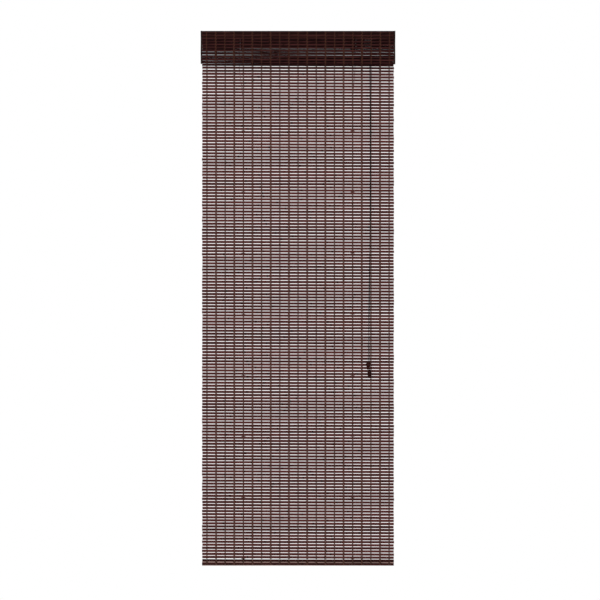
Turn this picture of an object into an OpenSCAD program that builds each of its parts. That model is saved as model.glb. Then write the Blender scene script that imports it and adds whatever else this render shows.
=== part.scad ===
// Woven bamboo roman shade: headrail, valance, folding mat, rings, lift cords and pull cords.
// Millimetres. Origin at the middle of the headrail's top face, +X to the viewer's right, +Z up, front towards -Y.

/* [Mat] */
// Width of the woven mat
mat_width = 584; // [540:1:700]
// Height from the top of the headrail to the lower edge of the hem
shade_drop = 1626; // [1500:1:1750]
// Height of one bamboo slat
slat_height = 7.4; // [6.6:0.1:7.6]
// Thickness of one bamboo slat
slat_thick = 1.8; // [1.4:0.1:2.2]
// Bevel along a slat's front edges
slat_bevel = 0.5; // [0.3:0.05:0.6]
// Distance from one woven thread to the next
thread_pitch = 27.75; // [25:0.25:28.5]
// Width of a woven thread
thread_width = 1.8; // [1.2:0.1:2.4]
// Thickness of a woven thread behind the slats
thread_thick = 0.6; // [0.4:0.1:0.8]

/* [Folds] */
// Distance from the valance's lower edge down to the first fold
fold_below_valance = 12; // [10:1:16]
// Clearance from a thread to the line that a fold turns on
fold_clear = 0.3; // [0.2:0.05:0.5]

/* [Hem] */
// Height of the hem below the last fold
hem_height = 21; // [19:1:26]
// Depth of the bottom bar
bar_depth = 5; // [4:0.25:5.5]

/* [Headrail] */
// Depth of the headrail board, front to back
board_depth = 44; // [42:1:56]
// Height of the headrail board
board_height = 20; // [18:1:22]
// Bevel along the board's long edges
board_bevel = 1; // [0.5:0.25:2]
// Radius of a mounting screw's hole
screw_hole_r = 2.25; // [2:0.05:2.75]
// Distance from the cord lock to the mounting screw beside it
screw_from_lock = 27; // [25:0.5:34]

/* [Valance] */
// Drop of the valance below the headrail's top
valance_drop = 102; // [98:1:112]
// Height of one valance slat
valance_slat = 8.2; // [7.4:0.1:8.5]
// Width of the band that binds each end of the valance
edge_band = 4.75; // [4:0.25:6]

/* [Cord lock] */
// Distance from the screw eye to the cord lock beside it
lock_from_eye = 37; // [34:0.5:42]
// Radius of the roller at the bottom of its grooves
roller_r = 6; // [5.5:0.25:6.5]
// Clearance of the roller on its pin and beside the cheeks
roller_clear = 0.25; // [0.2:0.05:0.35]
// Thickness of the lock's sheet metal
lock_sheet = 1.2; // [1:0.1:1.5]

/* [Cords] */
// Radius of a cord
cord_r = 0.8; // [0.6:0.05:0.9]
// Clearance from a cord to what guides it
cord_clear = 0.2; // [0.15:0.05:0.3]
// Outer radius of a cord ring
ring_outer_r = 6.5; // [6:0.25:7.5]
// Radius of a cord ring's wire
ring_wire_r = 1; // [0.8:0.05:1.2]
// Height of the upper tassel's top below the headrail's top
tassel_drop = 1003; // [900:1:1100]
// Height of a tassel
tassel_height = 25; // [22:0.5:27]
// Largest radius of a tassel
tassel_r = 6.4; // [5.6:0.1:6.6]

/* [Hidden] */
folds = 8;
rows = 10;
top_drop = valance_drop + fold_below_valance;
pitch = (shade_drop - top_drop - hem_height) / (2 * folds * rows);
half = rows * pitch;
top_rows = floor((top_drop - 2) / pitch);
mat_y = board_depth / 2 + 0.1 + thread_thick + slat_thick / 2;
thread_sink = 0.4;
back_y = mat_y + slat_thick / 2 + thread_thick;
axis_back_y = back_y + fold_clear;
ring_column = round(0.57 * mat_width / 2 / thread_pitch);
ring_x = ring_column * thread_pitch;
ring_y = axis_back_y + 0.1 + ring_outer_r;
threads = [-ring_column, ring_column];

valance_rows = 11;
valance_y = -board_depth / 2 - 0.1 - thread_thick - slat_thick / 2;

eye_x = ring_x + 9.5;
lock_x = eye_x + lock_from_eye;
lock_y = 0.3 * board_depth;
screw_x = lock_x + screw_from_lock;
eye_major_r = 6.5;
eye_wire_r = 1.25;
eye_shank = 24;
eye_z = -board_height - eye_shank - eye_major_r;
cord_side = 2;
wrap_r = roller_r + cord_r + cord_clear;
roller_z = -board_height - 28;
pin_r = 1.5;
roller_len = 11;
cheek_y = roller_len / 2 + roller_clear;
pull_x = lock_x + wrap_r;
drape_z = -top_drop - half - 5;
cord_apart = 0.9;
tassel_gap = 1;
tassel_apart = tassel_r + cord_r + 2 * cord_clear;
tassel_bore_r = cord_r + cord_clear;
tassel_bore = 7;
cross_z = -top_drop + pitch;

bamboo = [0.30, 0.16, 0.12];
timber = [0.42, 0.28, 0.20];
metal = [0.75, 0.75, 0.72];
cloth = [0.20, 0.12, 0.10];
cordage = [0.24, 0.16, 0.13];

// A slat's section, flat behind and bevelled along its front edges.
module slat_section(h) {
    polygon([[-slat_thick / 2, slat_bevel - h / 2], [slat_bevel - slat_thick / 2, -h / 2],
             [slat_thick / 2, -h / 2], [slat_thick / 2, h / 2],
             [slat_bevel - slat_thick / 2, h / 2], [-slat_thick / 2, h / 2 - slat_bevel]]);
}

// One stretch of mat: slats along X at an even pitch, carried by threads up their backs.
module woven(y, z_top, count, step, h) {
    translate([0, y, z_top]) {
        for (i = [0 : count - 1])
            translate([-mat_width / 2, 0, -(i + 0.5) * step])
                rotate([90, 0, 90]) linear_extrude(mat_width) slat_section(h);
        for (t = threads)
            translate([t * thread_pitch - thread_width / 2, slat_thick / 2 - thread_sink, fold_clear - count * step])
                cube([thread_width, thread_sink + thread_thick, count * step - 2 * fold_clear]);
    }
}

module half_fold(k, lower) {
    color(bamboo) woven(mat_y, -top_drop - (2 * (k - 1) + lower) * half, rows, pitch, slat_height);
}

module headrail_board() {
    d = board_depth / 2;
    b = board_bevel;
    color(timber) difference() {
        translate([-mat_width / 2, 0, 0]) rotate([90, 0, 90]) linear_extrude(mat_width)
            polygon([[-d, -b], [b - d, 0], [d - b, 0], [d, -b],
                     [d, b - board_height], [d - b, -board_height], [b - d, -board_height], [-d, b - board_height]]);
        for (s = [-1, 1]) {
            translate([s * screw_x, 0, -board_height - 1]) cylinder(r = screw_hole_r, h = board_height + 2, $fn = 32);
            translate([s * eye_x, lock_y, -board_height - 1]) cylinder(r = eye_wire_r, h = 13, $fn = 24);
            translate([lock_x + s * 13, lock_y, -board_height - 1]) cylinder(r = 1.5, h = 11, $fn = 24);
        }
    }
}

module valance() {
    color(bamboo) woven(valance_y, 0, valance_rows, valance_drop / valance_rows, valance_slat);
}

module valance_edge_bands() {
    color(cloth) for (s = [0, 1]) mirror([s, 0, 0])
        translate([mat_width / 2, valance_y, -valance_drop])
            linear_extrude(valance_drop)
                polygon([[0, slat_thick / 2 + thread_thick], [0, -slat_thick / 2 - 0.4],
                         [edge_band - 0.8, -slat_thick / 2 - 0.4], [edge_band, 0.4 - slat_thick / 2],
                         [edge_band, slat_thick / 2 + thread_thick]]);
}

module mat_top() {
    color(bamboo) woven(mat_y, top_rows * pitch - top_drop, top_rows, pitch, slat_height);
}

module screw_eyes() {
    color(metal) for (s = [-1, 1]) translate([s * eye_x, lock_y, 0]) {
        translate([0, 0, eye_z]) rotate([0, 90, 0])
            rotate_extrude($fn = 40) translate([eye_major_r, 0]) circle(r = eye_wire_r, $fn = 16);
        translate([0, 0, eye_z + eye_major_r]) cylinder(r = eye_wire_r, h = eye_shank + 11.5, $fn = 24);
    }
}

module cord_lock_body() {
    color(metal) translate([lock_x, lock_y, 0]) difference() {
        union() {
            translate([-19, -cheek_y - lock_sheet, -board_height - lock_sheet])
                cube([38, 2 * (cheek_y + lock_sheet), lock_sheet]);
            for (s = [0, 1]) mirror([0, s, 0])
                translate([0, cheek_y + lock_sheet, 0]) rotate([90, 0, 0]) linear_extrude(lock_sheet)
                    polygon([[-10, -board_height], [-10, roller_z + 2], [-6, roller_z - 9],
                             [6, roller_z - 9], [10, roller_z + 2], [10, -board_height]]);
        }
        for (s = [-1, 1])
            translate([s * 13, 0, -board_height - lock_sheet - 1]) cylinder(r = 1.7, h = lock_sheet + 2, $fn = 24);
        translate([0, cheek_y + lock_sheet + 1, roller_z]) rotate([90, 0, 0])
            cylinder(r = pin_r, h = 2 * (cheek_y + lock_sheet + 1), $fn = 32);
    }
}

module cord_lock_screws() {
    color(metal) for (s = [-1, 1]) translate([lock_x + s * 13, lock_y, -board_height - lock_sheet])
        rotate_extrude($fn = 32) polygon([[0, -1.8], [1.6, -1.8], [3, -0.6], [3, 0], [1.5, 0], [1.5, 9], [0, 10.5]]);
}

module cord_lock_pin() {
    reach = cheek_y + lock_sheet;
    color(metal) translate([lock_x, lock_y, roller_z]) rotate([90, 0, 0])
        rotate_extrude($fn = 32) polygon([[0, -reach - 0.8], [2.4, -reach - 0.8], [2.4, -reach], [pin_r, -reach],
                                          [pin_r, reach], [2.4, reach], [2.4, reach + 0.8], [0, reach + 0.8]]);
}

// A spool with two round-bottomed grooves, one for each cord.
module cord_lock_roller() {
    e = roller_len / 2;
    g = cord_r + cord_clear;
    color(metal) translate([lock_x, lock_y, roller_z]) rotate([90, 0, 0]) rotate_extrude($fn = 48)
        difference() {
            translate([pin_r + roller_clear, -e]) square([wrap_r + 1 - pin_r - roller_clear, roller_len]);
            for (s = [-1, 1]) {
                translate([wrap_r, s * cord_side]) circle(r = g, $fn = 24);
                translate([wrap_r, s * cord_side - g]) square([2, 2 * g]);
            }
        }
}

module ring_pair(k) {
    color(metal) for (s = [-1, 1]) translate([s * ring_x, ring_y, -top_drop - 2 * k * half])
        rotate_extrude($fn = 32) translate([ring_outer_r - ring_wire_r, 0]) circle(r = ring_wire_r, $fn = 16);
}

module hem_mat() {
    color(bamboo) woven(mat_y, hem_height - shade_drop, 2, hem_height / 2, slat_height);
}

module bottom_bar() {
    h = hem_height - 2;
    b = 1;
    color(timber) translate([-mat_width / 2, back_y + 0.1, -shade_drop]) rotate([90, 0, 90]) linear_extrude(mat_width)
        polygon([[0, b], [b, 0], [bar_depth - b, 0], [bar_depth, b],
                 [bar_depth, h - b], [bar_depth - b, h], [b, h], [0, h - b]]);
}

function unit(v) = v / norm(v);
function tangents(p) = [for (i = [0 : len(p) - 1]) unit(p[min(i + 1, len(p) - 1)] - p[max(i - 1, 0)])];
function carried(t, first) = [for (i = 0, u = first; i < len(t);
    i = i + 1, u = i < len(t) ? unit(u - (u * t[i]) * t[i]) : u) u];

// A round cord of eight sides along a route of points.
module cord(p) {
    n = 8;
    t = tangents(p);
    u = carried(t, abs(t[0][1]) < 0.9 ? unit([0, 1, 0] - t[0][1] * t[0]) : unit([1, 0, 0] - t[0][0] * t[0]));
    color(cordage) polyhedron(
        points = [for (i = [0 : len(p) - 1]) let (v = cross(t[i], u[i]))
                  for (k = [0 : n - 1]) p[i] + cord_r * (cos(360 * k / n) * u[i] + sin(360 * k / n) * v)],
        faces = concat([[for (k = [0 : n - 1]) k]],
                       [for (i = [0 : len(p) - 2]) for (k = [0 : n - 1])
                        [i * n + k, (i + 1) * n + k, (i + 1) * n + (k + 1) % n, i * n + (k + 1) % n]],
                       [[for (k = [n - 1 : -1 : 0]) (len(p) - 1) * n + k]]));
}

// From the roller to an eye, down behind the valance, through a gap of the mat and down through the rings.
module lift_cord(x_eye, side, y) {
    wire_z = eye_z - sqrt(pow(eye_major_r, 2) - pow(y - lock_y, 2));
    turn = eye_wire_r + cord_r + 2 * cord_clear;
    out = x_eye - turn;
    line = side * ring_x;
    cord(concat(
        [[lock_x, y, roller_z + wrap_r], [lock_x - 8, y, roller_z + wrap_r - 1]],
        side < 0 ? [[eye_x + 6, y, eye_z - 1], [eye_x - 6, y, eye_z - 2], [x_eye + 30, y, eye_z - 4]] : [[x_eye + 14, y, eye_z - 3]],
        [[x_eye + 3, y, wire_z + turn + 0.3]],
        [for (a = [90, 120, 150, 180]) [x_eye + turn * cos(a), y, wire_z + turn * sin(a)]],
        [[out, y, wire_z - 5], [out, y + 0.3 * (mat_y - y), (wire_z + cross_z) / 2], [out, mat_y - 4, cross_z + 3],
         [out, mat_y - 2, cross_z + 0.4], [out, mat_y, cross_z], [out, mat_y + 1.6, cross_z],
         [out, mat_y + 4.6, cross_z - 2], [out, ring_y - 0.8, cross_z - 7], [out, ring_y, cross_z - 13],
         [line, ring_y, -top_drop - 1.25 * half], [line, ring_y, -top_drop - 1.4 * half],
         [line, ring_y, -top_drop - 2 * folds * half - ring_wire_r]]));
}

// Over the roller and down to the height of the first crease.
module pull_cord_upper(side) {
    y = lock_y + side * cord_side;
    cord(concat([for (a = [90 : -15 : 0]) [lock_x + wrap_r * cos(a), y, roller_z + wrap_r * sin(a)]],
                [[pull_x, y, roller_z - 12], [pull_x + side * cord_apart, y, roller_z - 30],
                 [pull_x + side * cord_apart, y, drape_z]]));
}

function tassel_x(side) = pull_x - 4.3 + side * 0.265 * tassel_apart;
function tassel_y(side) = lock_y - 1.8 + side * 0.425 * tassel_apart;
function tassel_z(side) = -tassel_drop - (side < 0 ? 0 : tassel_height + tassel_gap);

// Straight down beside its partner, then aside to its tassel.
module pull_cord_lower(side) {
    x = pull_x + side * cord_apart;
    y = lock_y + side * cord_side;
    fall = tassel_drop + drape_z;
    cord([[x, y, drape_z], [x, y, drape_z - 20], [x, y, drape_z - 0.38 * fall],
          [tassel_x(side), tassel_y(side), drape_z - 0.77 * fall], [tassel_x(side), tassel_y(side), tassel_z(side) + 2],
          [tassel_x(side), tassel_y(side), tassel_z(side) - tassel_bore + 1]]);
}

// A tassel's outline from its top: shares of its height and of its largest radius.
tassel_outline = [[0, 0.4], [0.05, 0.7], [0.12, 0.88], [0.24, 0.98], [0.36, 1],
                  [0.5, 0.95], [0.65, 0.83], [0.8, 0.7], [0.93, 0.6], [1, 0.54]];

// A turned acorn, bored for its cord above and hollowed below.
module tassel(side) {
    h = tassel_height;
    color(timber) translate([tassel_x(side), tassel_y(side), tassel_z(side)])
        rotate_extrude($fn = 32) difference() {
            polygon(concat([[0, 0], [0, -h]],
                [for (i = [len(tassel_outline) - 1 : -1 : 0]) [tassel_r * tassel_outline[i][1], -h * tassel_outline[i][0]]]));
            translate([0, -tassel_bore]) square([tassel_bore_r, tassel_bore + 1]);
            translate([0, -h - 1]) square([tassel_r * 0.54 - 1.3, 7]);
        }
}

module fold_1_upper() { half_fold(1, 0); }
module fold_1_lower() { half_fold(1, 1); }
module fold_2_upper() { half_fold(2, 0); }
module fold_2_lower() { half_fold(2, 1); }
module fold_3_upper() { half_fold(3, 0); }
module fold_3_lower() { half_fold(3, 1); }
module fold_4_upper() { half_fold(4, 0); }
module fold_4_lower() { half_fold(4, 1); }
module fold_5_upper() { half_fold(5, 0); }
module fold_5_lower() { half_fold(5, 1); }
module fold_6_upper() { half_fold(6, 0); }
module fold_6_lower() { half_fold(6, 1); }
module fold_7_upper() { half_fold(7, 0); }
module fold_7_lower() { half_fold(7, 1); }
module fold_8_upper() { half_fold(8, 0); }
module fold_8_lower() { half_fold(8, 1); }
module rings_1() { ring_pair(1); }
module rings_2() { ring_pair(2); }
module rings_3() { ring_pair(3); }
module rings_4() { ring_pair(4); }
module rings_5() { ring_pair(5); }
module rings_6() { ring_pair(6); }
module rings_7() { ring_pair(7); }
module rings_8() { ring_pair(8); }
module lift_cord_left() { lift_cord(-eye_x, -1, lock_y + cord_side); }
module lift_cord_right() { lift_cord(eye_x, 1, lock_y - cord_side); }
module pull_cord_front_upper() { pull_cord_upper(-1); }
module pull_cord_back_upper() { pull_cord_upper(1); }
module pull_cord_front_lower() { pull_cord_lower(-1); }
module pull_cord_back_lower() { pull_cord_lower(1); }
module tassel_front() { tassel(-1); }
module tassel_back() { tassel(1); }

headrail_board();
valance();
valance_edge_bands();
mat_top();
screw_eyes();
cord_lock_body();
cord_lock_screws();
cord_lock_pin();
cord_lock_roller();
fold_1_upper();
fold_1_lower();
fold_2_upper();
fold_2_lower();
fold_3_upper();
fold_3_lower();
fold_4_upper();
fold_4_lower();
fold_5_upper();
fold_5_lower();
fold_6_upper();
fold_6_lower();
fold_7_upper();
fold_7_lower();
fold_8_upper();
fold_8_lower();
rings_1();
rings_2();
rings_3();
rings_4();
rings_5();
rings_6();
rings_7();
rings_8();
hem_mat();
bottom_bar();
lift_cord_left();
lift_cord_right();
pull_cord_front_upper();
pull_cord_back_upper();
pull_cord_front_lower();
pull_cord_back_lower();
tassel_front();
tassel_back();
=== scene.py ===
"""Bamboo roman shade: the woven mat, its threads, cords and finishes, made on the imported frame."""

from math import radians

import bpy
import numpy as np
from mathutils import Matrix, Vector


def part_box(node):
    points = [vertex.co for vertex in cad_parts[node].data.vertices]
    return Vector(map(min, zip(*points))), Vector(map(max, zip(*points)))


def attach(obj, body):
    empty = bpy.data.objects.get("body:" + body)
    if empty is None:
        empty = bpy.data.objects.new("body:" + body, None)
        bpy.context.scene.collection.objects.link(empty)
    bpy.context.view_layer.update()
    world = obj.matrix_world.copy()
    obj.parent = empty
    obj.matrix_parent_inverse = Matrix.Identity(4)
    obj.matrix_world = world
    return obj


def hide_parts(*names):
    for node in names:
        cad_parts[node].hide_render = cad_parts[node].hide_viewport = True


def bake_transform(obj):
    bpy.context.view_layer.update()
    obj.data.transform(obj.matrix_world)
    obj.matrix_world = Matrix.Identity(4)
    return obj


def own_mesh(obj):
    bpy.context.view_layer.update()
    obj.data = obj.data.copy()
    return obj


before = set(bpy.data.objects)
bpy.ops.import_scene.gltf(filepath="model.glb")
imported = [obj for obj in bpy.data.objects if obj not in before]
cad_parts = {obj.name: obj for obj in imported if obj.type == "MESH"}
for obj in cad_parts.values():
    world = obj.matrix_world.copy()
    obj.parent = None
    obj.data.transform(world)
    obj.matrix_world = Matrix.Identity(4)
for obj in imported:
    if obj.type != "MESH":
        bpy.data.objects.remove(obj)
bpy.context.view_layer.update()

bl_info = {
    "name": "Bamboo roman shade",
    "version": (1, 0, 0),
    "blender": (4, 5, 0),
    "location": "View3D > Sidebar > Shade",
    "description": "Makes the woven mat, threads, cords and finishes of a bamboo roman shade",
    "category": "Object",
}

MM = 0.001

# Counts, places and sizes that the CAD fixes, in metres
FOLDS = 8
ROWS = 10
TOP_ROWS = 12
VALANCE_ROWS = 11
HALF_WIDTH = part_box("mat_top")[1][0]
BAND_LOW, BAND_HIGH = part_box("valance_edge_bands")
TOP_DROP = 0.114
HALF_FOLD = 0.0931875
PITCH = HALF_FOLD / ROWS
HEM_HEIGHT = 0.021
SHADE_DROP = 1.626
MAT_Y = 0.0236
VALANCE_Y = -0.0236
RING_X = 0.1665
RING_Y = 0.032
RING_MAJOR = 0.0055
EYE_X = 0.176
EYE_Z = -0.0505
EYE_MAJOR = 0.0065
EYE_WIRE = 0.00125
LOCK_X = 0.213
LOCK_Y = 0.0132
ROLLER_Z = -0.048
WRAP = 0.007
PULL_X = LOCK_X + WRAP
DRAPE_Z = -0.2121875
CROSS_Z = -TOP_DROP + PITCH
TASSEL_DROP = 1.003
TASSELS = {"front": (0.213686, 0.00817, -1.003), "back": (0.217714, 0.01463, -1.029)}
TASSEL_BORE = 0.006
CORD_GROOVE = 0.002

# The side of the roller's middle for each pull cord, and of the shade's middle for each lift cord
CORD_SIDE = {"front": -1, "back": 1}
LIFT_SIDE = {"left": -1, "right": 1}

# Sizes as the photograph shows them, in metres. The valance's first nine rows end at VALANCE_CLOSE,
# and the last two are closer together.
VALANCE_DROP = 0.1008
VALANCE_CLOSE = 0.0837
VALANCE_OPEN_ROWS = 9
VALANCE_SLAT = 0.0077
HEM_SLAT = 0.0069

# Behind the valance the slats rise at the rail, sag half way down, and start with a share of the
# mat's slope
TOP_SLAT = 0.0073
TOP_RISE = 0.0023
TOP_SAG = 0.0031
TOP_FAN = 0.75

# How far the valance's end tape stands out past the slats, laps over them, is thicker than its solid,
# and waves, with the wave's angle over its drop
BAND_REACH = 3.25 * MM
BAND_LAP = 1.5 * MM
BAND_PLAY = 0.1 * MM
BAND_WAVE = 0.18 * MM
BAND_WAVES = 9

# Half the distance between the pull cords, where their middle is near the tassels, and the shares of
# their fall at which they start to lean there and have arrived
CORD_APART = 0.9 * MM
TASSEL_MIDDLE = 0.2157
LEAN_START = 0.38
LEAN_END = 0.95

# The camera sees the shade as the photograph does: 600 pixels stand for this many metres at the mat
VIEW_WIDTH = 1.824
VIEW_DISTANCE = 10.0
VIEW_AIM = (0.0061, 0.0, -0.8163)
SENSOR = 36.0

# Each light's name, place and side in metres, and power in watts
LIGHTS = (
    ("key_softbox", (-2.2, -3.2, 0.9), 2.2, 70),
    ("fill_softbox", (2.6, -3.4, -0.4), 2.4, 40),
    ("back_softbox", (0.6, 3.2, 0.4), 2.2, 40),
)
LIGHT_AIM = (0, 0, -0.75)
WORLD_LIGHT = 0.45
WORLD_SEEN = 1.0
FLOOR_LEVELS = (-2.4, -2.406)
FLOOR_RADII = (1.75, 1.8)
FLOOR_SIDES = 96


def linear(code):
    """Turns an sRGB hex colour into linear red, green and blue."""
    value = np.array([int(code[i : i + 2], 16) for i in (1, 3, 5)]) / 255
    return tuple(np.where(value <= 0.04045, value / 12.92, ((value + 0.055) / 1.055) ** 2.4))


def opaque(colour):
    """A colour with full cover, as a colour socket takes it."""
    return (*colour, 1.0)


def times(colour, share):
    """A colour made darker or paler by a share, up to white."""
    return tuple(min(1.0, share * c) for c in colour)


def length_property(name, description, default):
    """A length that a user can change, in metres."""
    return bpy.props.FloatProperty(
        name=name,
        description=description,
        default=default,
        min=0.0,
        precision=5,
        subtype="DISTANCE",
        unit="LENGTH",
    )


def angle_property(name, description, degrees):
    """An angle that a user can change, with its default in degrees."""
    return bpy.props.FloatProperty(
        name=name,
        description=description,
        default=radians(degrees),
        subtype="ANGLE",
        unit="ROTATION",
    )


def colour_property(name, description, code):
    """A colour that a user can change, with its default as an sRGB hex value."""
    return bpy.props.FloatVectorProperty(
        name=name,
        description=description,
        default=linear(code),
        min=0.0,
        max=1.0,
        size=3,
        subtype="COLOR",
    )


def seed_property(name, description, default):
    """A number that a user can change to get another choice of slats."""
    return bpy.props.IntProperty(name=name, description=description, default=default)


class ShadeSizes(bpy.types.PropertyGroup):
    """Sizes of the slats, threads and cords."""

    slat_height: length_property("Slat height", "Height of one bamboo slat", 7.5 * MM)
    slat_thick: length_property("Slat thickness", "Thickness of one slat", 1.8 * MM)
    thread_pitch: length_property("Thread pitch", "From one pair of threads to the next", 27.75 * MM)
    thick_thread: length_property("Thick thread", "Width of threads in every second pair", 3.0 * MM)
    thin_thread: length_property("Thin thread", "Width of threads in the pairs between", 2.1 * MM)
    tooth: length_property("Uneven ends", "How far slat ends stand out or in", 0.8 * MM)
    crook: length_property("Crook", "How far slats bend up or down at their nodes", 0.25 * MM)
    cord: length_property("Cord", "Diameter of a lift or pull cord", 1.6 * MM)
    slope: angle_property("Slat slope", "Fall of the mat's slats to the viewer's right", 0.2)
    valance_slope: angle_property("Valance slope", "Fall of the lowest valance slat", 0.3)
    seed: seed_property("Seed", "Choice of slats and tones in the folds", 11)
    top_seed: seed_property("Top seed", "Choice of slats behind the valance", 3842)
    valance_seed: seed_property("Valance seed", "Choice of slats in the valance", 209)


class ShadeColours(bpy.types.PropertyGroup):
    """Colours of the finishes."""

    slat_dark: colour_property("Slat, dark", "Darkest stain on the slats", "#0C0606")
    slat_mid: colour_property("Slat, middle", "Usual stain on the slats", "#432322")
    slat_light: colour_property("Slat, light", "Worn stain on the slats", "#70403D")
    slat_node: colour_property("Slat, node", "Stain in the ring of a bamboo node", "#180A07")
    slat_glow: colour_property("Slat, lit", "Slats lit from behind", "#E7B6B0")
    edge_glow: colour_property("Edge, lit", "Slat edges lit from behind", "#F08A82")
    # Painted shade: a darker copy of the slats' stain for the valance, the slats behind it and the
    # hem, where little light comes from behind
    shaded_slat_dark: colour_property("Valance, dark", "Darkest stain on the valance", "#080404")
    shaded_slat_mid: colour_property("Valance, middle", "Usual stain on the valance", "#281010")
    shaded_slat_light: colour_property("Valance, light", "Worn stain on the valance", "#4A2625")
    # Painted shade: the valance's threads are a darker copy of the mat's cotton
    valance_thread: colour_property("Valance thread", "Cotton on the valance", "#482618")
    thick_thread: colour_property("Thick thread", "Cotton of thick pairs", "#5A3B32")
    thin_thread: colour_property("Thin thread", "Cotton of thin pairs", "#50362D")
    tape: colour_property("Edge tape", "Woven tape on the valance ends", "#23120F")
    timber: colour_property("Timber", "Stain on the headrail", "#4A2A1E")
    # Partly painted light: a pale stain, so that the bar's face, in shade in the hem's gap, shows as
    # a light line
    bar: colour_property("Bar", "Stain on the bottom bar", "#B4928A")
    cord: colour_property("Cord", "Braided lift and pull cords", "#0C0605")
    tassel: colour_property("Tassel", "Stain on the turned tassels", "#2E100C")
    steel: colour_property("Plated steel", "Zinc plate on the fittings", "#B7B8B6")
    brass: colour_property("Brass", "Lock roller", "#B3935A")
    floor: colour_property("Floor", "Pale floor under the shade", "#E8E6E2")
    surround: colour_property("Surround", "Light and ground around the shade", "#FFFFFF")


def sizes():
    """The sizes that the scene holds."""
    return bpy.context.scene.shade_sizes


def colours():
    """The colours that the scene holds."""
    return bpy.context.scene.shade_colours


# Meshes


def skin(sections):
    """Closed tubes from profiles of shape (tube, station, point, 3).

    Neighbouring stations are joined by quads, and the two end profiles are filled.
    A profile runs anticlockwise seen against the tube's direction, so faces point outwards.
    Returns points, faces and the number of faces of each tube's wall.
    """
    tubes, stations, points, _ = sections.shape
    index = np.arange(tubes * stations * points).reshape(tubes, stations, points)
    near, far = index[:, :-1], index[:, 1:]
    wall = np.stack([near, np.roll(near, -1, 2), np.roll(far, -1, 2), far], -1)
    ends = np.concatenate([index[:, 0, ::-1], index[:, -1]])
    faces = wall.reshape(-1, 4).tolist() + ends.tolist()
    return sections.reshape(-1, 3), faces, (stations - 1) * points


def tube_uv(sections, centres):
    """Corner coordinates for skin: turns around the tube, and metres along its centre line."""
    tubes, stations, points, _ = sections.shape
    step = np.linalg.norm(np.diff(centres, axis=1), axis=2)
    along = np.concatenate([np.zeros((tubes, 1)), np.cumsum(step, axis=1)], axis=1)
    turn = np.arange(points + 1) / points
    u = np.stack([turn[:-1], turn[1:], turn[1:], turn[:-1]], -1)
    u = np.broadcast_to(u, (tubes, stations - 1, points, 4))
    v = np.stack([along[:, :-1], along[:, :-1], along[:, 1:], along[:, 1:]], -1)
    v = np.broadcast_to(v[:, :, None, :], (tubes, stations - 1, points, 4))
    wall = np.stack([u, v], -1).reshape(-1, 2)
    ends = np.zeros((2 * tubes * points, 2))
    return np.concatenate([wall, ends])


def piece(name, points, faces, looks, smooth=0, uv=None, which=None, marks=None):
    """Puts points and faces into a new object at the origin, with its finishes.

    The first smooth faces are shaded smooth. uv holds one pair for each face corner,
    which the number of each face's finish, and marks a slat's values for each point.
    """
    mesh = bpy.data.meshes.new(name)
    mesh.from_pydata(points.tolist(), [], faces)
    for look in looks:
        mesh.materials.append(finish(look))
    soft = np.zeros(len(faces), bool)
    soft[:smooth] = True
    mesh.polygons.foreach_set("use_smooth", soft)
    if which is not None:
        mesh.polygons.foreach_set("material_index", np.asarray(which, np.int32))
    if uv is not None:
        layer = mesh.uv_layers.new(name="lay")
        layer.data.foreach_set("uv", uv.astype(np.float32).ravel())
    if marks is not None:
        store = mesh.attributes.new("slat", "FLOAT_VECTOR", "POINT")
        store.data.foreach_set("vector", marks.astype(np.float32).ravel())
    mesh.update()
    obj = bpy.data.objects.new(name, mesh)
    bpy.context.scene.collection.objects.link(obj)
    return obj


def tubes_along(centres, width, thick, sides, across):
    """Oval profiles carried along paths of shape (tube, station, 3).

    The oval's width lies along the part of across that is square to the path,
    and its thickness square to both.
    """
    ahead = np.gradient(centres, axis=1)
    ahead /= np.linalg.norm(ahead, axis=2, keepdims=True)
    side = np.asarray(across) - (ahead @ np.asarray(across))[..., None] * ahead
    side /= np.linalg.norm(side, axis=2, keepdims=True)
    up = np.cross(ahead, side)
    angle = 2 * np.pi * np.arange(sides) / sides
    width = np.asarray(width).reshape(-1, 1, 1, 1) / 2
    thick = np.asarray(thick).reshape(-1, 1, 1, 1) / 2
    cosine, sine = np.cos(angle)[:, None], np.sin(angle)[:, None]
    oval = width * cosine * side[:, :, None] + thick * sine * up[:, :, None]
    return centres[:, :, None] + oval


def each_face(kind, wall):
    """The number of each face's finish in what skin makes, from that of each tube."""
    return np.concatenate([np.repeat(kind, wall), kind, kind])


def tube_piece(name, paths, width, thick, sides, looks, kind=None, across=(1.0, 0.0, 0.0)):
    """Smooth oval tubes along paths, with the number of each tube's finish in kind."""
    sections = tubes_along(paths, width, thick, sides, across)
    points, faces, wall = skin(sections)
    which = None if kind is None else each_face(kind, wall)
    return piece(name, points, faces, looks, wall * len(paths), tube_uv(sections, paths), which)


def smooth_route(points, spacing):
    """Even points along a smooth line through the given ones.

    Each stretch is a cubic whose slope at a point is the mean of the stretches' slopes
    there, weighted towards the shorter stretch, so long straights stay straight.
    """
    points = np.asarray(points, float)
    reach = np.linalg.norm(np.diff(points, axis=0), axis=1)
    stretch = np.diff(points, axis=0) / reach[:, None]
    weight = 1 / reach
    slope = np.empty_like(points)
    slope[0], slope[-1] = stretch[0], stretch[-1]
    mixed = stretch[:-1] * weight[:-1, None] + stretch[1:] * weight[1:, None]
    slope[1:-1] = mixed / (weight[:-1] + weight[1:])[:, None]
    place = np.concatenate([[0], np.cumsum(reach)])
    wanted = np.linspace(0, place[-1], max(2, int(round(place[-1] / spacing)) + 1))
    wanted = np.union1d(wanted, place)
    wanted = wanted[np.concatenate([[True], np.diff(wanted) > 1e-6])]
    i = np.clip(np.searchsorted(place, wanted, "right") - 1, 0, len(reach) - 1)
    h = reach[i][:, None]
    t = (wanted - place[i])[:, None] / h
    return (
        (2 * t**3 - 3 * t**2 + 1) * points[i]
        + (t**3 - 2 * t**2 + t) * h * slope[i]
        + (3 * t**2 - 2 * t**3) * points[i + 1]
        + (t**3 - t**2) * h * slope[i + 1]
    )


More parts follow.
